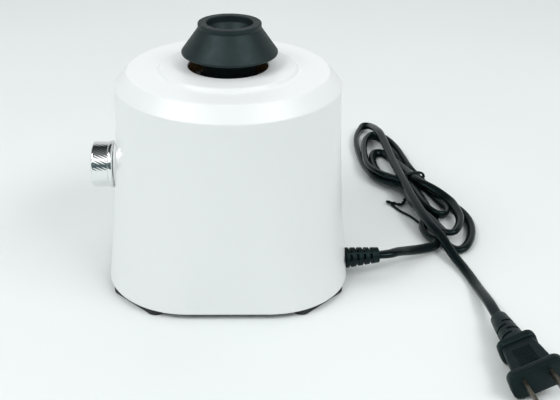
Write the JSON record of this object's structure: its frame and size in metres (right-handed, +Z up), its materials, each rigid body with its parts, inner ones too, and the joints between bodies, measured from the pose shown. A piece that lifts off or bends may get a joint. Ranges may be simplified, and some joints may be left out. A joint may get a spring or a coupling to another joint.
{
  "type": "vortex mixer",
  "caption": "Benchtop vortex mixer: a moulded cover on a cast base, an eccentric rubber cup on top, a fluted speed knob at the side and a tied mains lead with its plug.",
  "frame": {"origin": "on the motor's axis, in the plane of the feet", "axes": "+Z up along the motor's axis, +X to the side where the lead leaves, -Y to the front"},
  "size_m": [0.2243, 0.3311, 0.1358],
  "materials": {
    "cover_white": "satin",
    "base_iron": "painted matt",
    "foot_rubber": "matt",
    "mount_rubber": "matt",
    "screw_steel": "zinc plated",
    "bracket_alloy": "cast",
    "stack_steel": "laminated",
    "winding_copper": "enamelled",
    "bush_bronze": "sintered",
    "rotor_alloy": "cast",
    "shaft_steel": "ground",
    "collar_brown": "phenolic laminate",
    "disc_black": "satin",
    "bearing_steel": "polished",
    "holder_black": "moulded",
    "cup_rubber": "satin moulded",
    "knob_chrome": "polished",
    "pot_metal": "plated",
    "pot_black": "moulded",
    "board_green": "solder mask",
    "capacitor_yellow": "moulded",
    "triac_black": "moulded",
    "sink_alloy": "extruded",
    "block_green": "moulded",
    "wire_red": "sleeved",
    "lead_black": "extruded sheath",
    "tie_black": "coated wire",
    "plug_black": "fine moulded texture",
    "blade_brass": "plated"
  },
  "bodies": {
    "housing": {"housing_cover": "cover_white", "base_plate": "base_iron", "foot_front_left": "foot_rubber", "foot_front_right": "foot_rubber", "foot_back_left": "foot_rubber", "foot_back_right": "foot_rubber", "cover_screws": "screw_steel", "motor_mounts": "mount_rubber", "mount_screws": "screw_steel", "lower_bracket": "bracket_alloy", "upper_bracket": "bracket_alloy", "stator_core": "stack_steel", "stator_windings": "winding_copper", "motor_bolts": "screw_steel", "lower_bush": "bush_bronze", "upper_bush": "bush_bronze", "splash_collar": "collar_brown", "collar_screws": "screw_steel", "pot_body": "pot_black", "pot_bushing": "pot_metal", "pot_nut": "pot_metal", "control_board": "board_green", "capacitor": "capacitor_yellow", "power_triac": "triac_black", "heat_sink": "sink_alloy", "terminal_block": "block_green", "suppression_choke": "winding_copper", "strain_relief": "plug_black", "inner_lead": "lead_black", "motor_wires": "wire_red", "cord_lead": "lead_black", "cord_hank": "lead_black", "cord_tail": "lead_black", "cord_tie": "tie_black", "plug_body": "plug_black", "plug_blades": "blade_brass"},
    "rotor": {"rotor_core": "stack_steel", "rotor_end_rings": "rotor_alloy", "motor_shaft": "shaft_steel", "drive_disc": "disc_black", "counterweight": "shaft_steel", "bearing_inner_ring": "bearing_steel", "bearing_balls": "bearing_steel", "pin_clip": "shaft_steel"},
    "cup": {"bearing_outer_ring": "bearing_steel", "cup_holder": "holder_black", "rubber_cup": "cup_rubber"},
    "knob": {"speed_knob": "knob_chrome", "pot_shaft": "pot_metal"}
  },
  "joints": [
    {"name": "rotor_spin", "type": "hinge", "parent": "housing", "child": "rotor", "pos_m": [0, 0, 0.06], "axis": [0, 0, 1], "continuous": true},
    {"name": "cup_orbit", "type": "hinge", "parent": "rotor", "child": "cup", "pos_m": [0.00084, 0.00209, 0.11], "axis": [0, 0, 1], "continuous": true},
    {"name": "knob_turn", "type": "hinge", "parent": "housing", "child": "knob", "pos_m": [-0.07, 0, 0.0576], "axis": [1, 0, 0], "range_deg": [0, 300]}
  ],
  "couplings": [
    {"joint": "cup_orbit", "follows": "rotor_spin", "ratio": -1}
  ]
}
